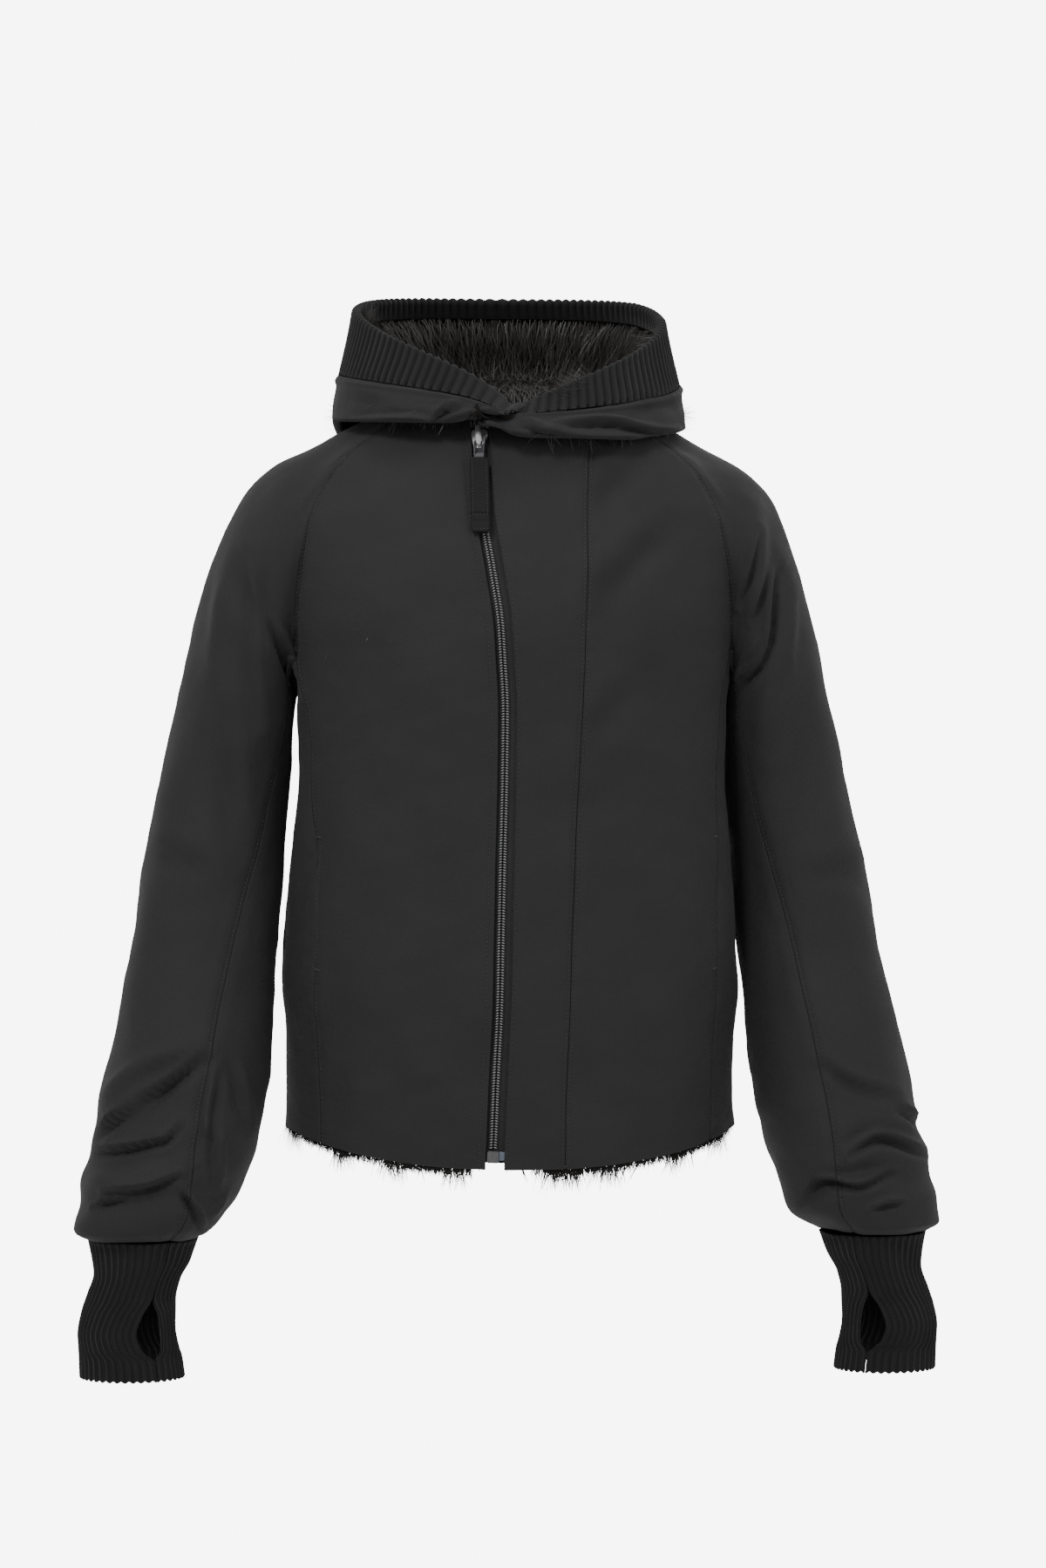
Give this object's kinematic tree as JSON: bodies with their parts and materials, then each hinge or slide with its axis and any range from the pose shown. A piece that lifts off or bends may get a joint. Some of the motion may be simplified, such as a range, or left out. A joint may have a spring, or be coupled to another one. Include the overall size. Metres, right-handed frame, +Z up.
{
  "type": "hooded zip jacket with fur lining",
  "caption": "Short hooded jacket in its worn hollow form, with raglan sleeves, rib-knit cuffs and hood band, an off-centre front zip and a dark fur lining.",
  "frame": {"origin": "middle of the neck, level with the front end of the neck seam, between the shoulders that hold the jacket up", "axes": "+Z up, -Y to the front of the wearer, +X to the wearer's left"},
  "size_m": [0.6952, 0.332, 0.8851],
  "materials": {
    "shell": "matte plain weave",
    "knit": "matte rib knit",
    "fur": "long glossy pile",
    "zip_tape": "matte woven tape",
    "zip_metal": "bright",
    "dark_metal": "dark satin",
    "webbing": "stitched woven tape"
  },
  "bodies": {
    "garment": {"back": "shell", "cuff_left_inner": "knit", "cuff_left_outer": "knit", "cuff_right_inner": "knit", "cuff_right_outer": "knit", "front_left": "shell", "front_placket": "shell", "front_right": "shell", "hood_band": "knit", "hood_lining": "fur", "hood_neck": "shell", "hood_shell": "shell", "lining_body": "fur", "neck_lining": "fur", "side_left": "shell", "side_right": "shell", "sleeve_left_under": "shell", "sleeve_left_upper": "shell", "sleeve_right_under": "shell", "sleeve_right_upper": "shell", "zip_box": "zip_metal", "zip_chain": "zip_tape", "zip_slider": "zip_metal", "zip_tape_left": "zip_tape", "zip_tape_right": "zip_tape"},
    "zip_pull": {"zip_puller": "dark_metal", "pull_tab": "webbing", "pull_tab_end": "webbing"}
  },
  "joints": [
    {"name": "pull_swing", "type": "hinge", "parent": "garment", "child": "zip_pull", "pos_m": [-0.03157, -0.1005, -0.01406], "axis": [-1, 0, 0], "range_deg": [0, 110]}
  ]
}
